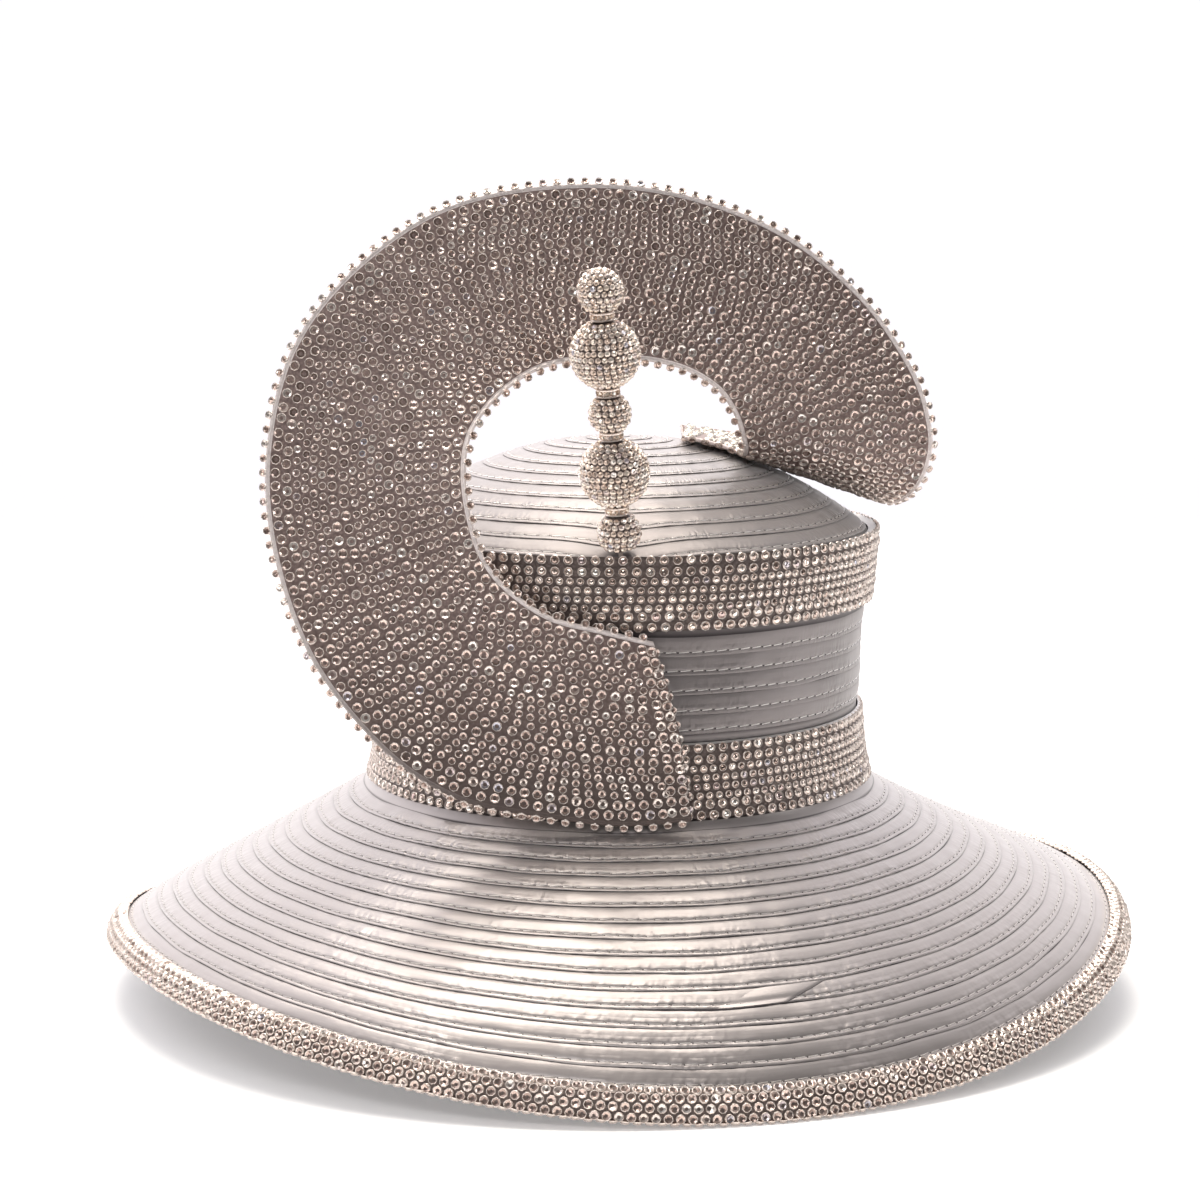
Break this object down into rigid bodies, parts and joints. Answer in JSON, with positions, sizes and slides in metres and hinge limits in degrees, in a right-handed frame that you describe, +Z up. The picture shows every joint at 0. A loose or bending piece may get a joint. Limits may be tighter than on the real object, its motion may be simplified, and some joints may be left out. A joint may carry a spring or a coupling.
{
  "type": "wide-brim hat",
  "caption": "Wide-brim dress hat sewn in lapped ribbon rows, with a domed crown, stone-set bands and edge trim, a large curled ribbon ornament and a beaded hat pin.",
  "frame": {"origin": "on the floor under the middle of the brim, at the level of the brim's two lowest points", "axes": "+Z up through the crown, -Y toward the front of the hat where the pin stands, +X to the right seen from the front"},
  "size_m": [0.3786, 0.3786, 0.2966],
  "materials": {
    "satin": "silver-grey satin ribbon sewn in lapped rows, soft sheen",
    "stones": "foil-backed clear stones in bright metal cups on a woven tape",
    "pin_stones": "small foil-backed stones set all over a ball",
    "pin_metal": "bright plated metal"
  },
  "bodies": {
    "root": {"crown": "satin", "brim": "satin", "top_band": "stones", "base_band": "stones", "brim_trim": "stones", "swirl": "stones", "pin_wire": "pin_metal", "pin_ball_1": "pin_stones", "pin_ball_2": "pin_stones", "pin_ball_3": "pin_stones", "pin_ball_4": "pin_stones", "pin_ball_5": "pin_stones", "pin_rondelle_1": "pin_metal", "pin_rondelle_2": "pin_metal", "pin_rondelle_3": "pin_metal", "pin_rondelle_4": "pin_metal"}
  },
  "joints": []
}
